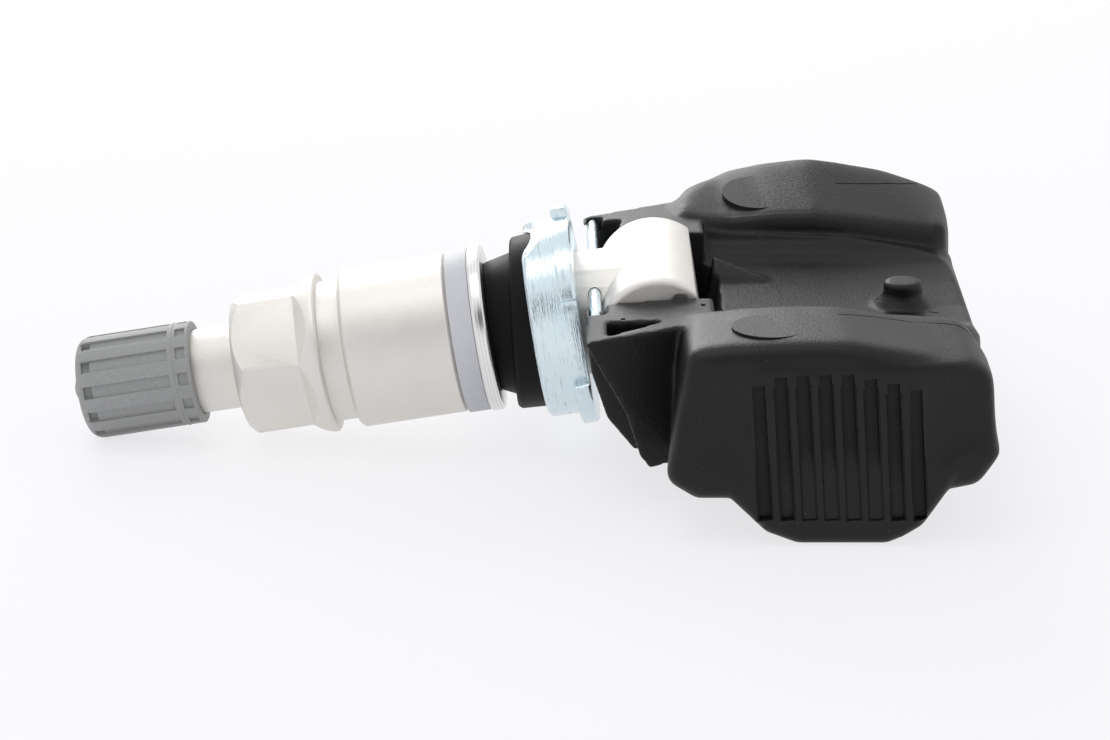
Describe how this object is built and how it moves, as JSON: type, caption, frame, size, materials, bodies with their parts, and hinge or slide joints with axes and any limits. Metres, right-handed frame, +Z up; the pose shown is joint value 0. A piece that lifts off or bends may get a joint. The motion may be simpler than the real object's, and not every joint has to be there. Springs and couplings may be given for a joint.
{
  "type": "tyre pressure sensor",
  "caption": "Tyre pressure sensor with a black slotted housing that pivots on an angle-adjustable metal clamp-in valve.",
  "frame": {"origin": "centre of the rim seat on the valve axis, at the front face of the grommet ring", "axes": "+X towards the blind end of the housing with the housing level, +Y across the housing, +Z up from the table; the valve runs towards -X and falls by 9.3 degrees"},
  "size_m": [0.0819, 0.0492, 0.0218],
  "materials": {
    "black_nylon": "matte, fine grain",
    "stem_aluminium": "bead blasted",
    "nut_aluminium": "bead blasted",
    "bright_aluminium": "fine turned",
    "grey_ring": "satin",
    "zinc_steel": "blue zinc plated",
    "black_rubber": "satin",
    "grey_plastic": "matte",
    "core_brass": "turned",
    "white_polymer": "matte",
    "spring_steel": "drawn wire",
    "board_laminate": "solder mask",
    "cell_steel": "satin",
    "tab_nickel": "satin",
    "chip_epoxy": "matte",
    "antenna_brass": "tinned strip",
    "ferrite": "matte",
    "copper_wire": "enamelled wire",
    "capacitor_epoxy": "matte"
  },
  "bodies": {
    "valve": {"valve_stem": "stem_aluminium", "cross_pin": "zinc_steel", "clamp_collar": "zinc_steel", "rubber_grommet": "black_rubber", "nut_washer": "bright_aluminium", "valve_core_body": "core_brass", "valve_core_sleeve": "white_polymer"},
    "housing": {"housing_shell": "black_nylon", "base_cover": "black_nylon", "port_filter": "white_polymer", "circuit_board": "board_laminate", "coin_cell": "cell_steel", "cell_tab_lower": "tab_nickel", "cell_tab_upper": "tab_nickel", "pressure_chip": "chip_epoxy", "radio_antenna": "antenna_brass", "wake_coil_core": "ferrite", "wake_coil_winding": "copper_wire", "quartz_crystal": "tab_nickel", "buffer_capacitor": "capacitor_epoxy"},
    "slip_ring": {"slip_ring": "grey_ring"},
    "union_nut": {"union_nut": "nut_aluminium"},
    "cap_seal": {"cap_seal": "black_rubber"},
    "valve_cap": {"valve_cap": "grey_plastic"},
    "core_pin": {"valve_core_pin": "core_brass", "valve_core_seal": "black_rubber", "valve_core_spring": "spring_steel"}
  },
  "joints": [
    {"name": "housing_tilt", "type": "hinge", "parent": "valve", "child": "housing", "pos_m": [0.01293, 0, 0.00212], "axis": [0, 1, 0], "range_deg": [-6, 8]},
    {"name": "nut_travel", "type": "slide", "parent": "valve", "child": "slip_ring", "axis": [-0.9869, 0, -0.1616], "range_m": [0, 0.003]},
    {"name": "nut_turn", "type": "hinge", "parent": "slip_ring", "child": "union_nut", "pos_m": [-0.01174, 0, -0.00192], "axis": [-0.9869, 0, -0.1616], "range_deg": [0, 1080]},
    {"name": "cap_travel", "type": "slide", "parent": "valve", "child": "cap_seal", "axis": [-0.9869, 0, -0.1616], "range_m": [0, 0.00476]},
    {"name": "cap_turn", "type": "hinge", "parent": "cap_seal", "child": "valve_cap", "pos_m": [-0.03444, 0, -0.00564], "axis": [-0.9869, 0, -0.1616], "range_deg": [0, 2160]},
    {"name": "core_press", "type": "slide", "parent": "valve", "child": "core_pin", "axis": [0.9869, 0, 0.1616], "range_m": [0, 0.001], "stiffness_N_per_m": 400, "springref_m": -0.002, "deforming": ["valve_core_spring"]}
  ],
  "couplings": [
    {"joint": "nut_turn", "follows": "nut_travel", "rad_per_m": 6283.2},
    {"joint": "cap_turn", "follows": "cap_travel", "rad_per_m": 7915.8}
  ]
}
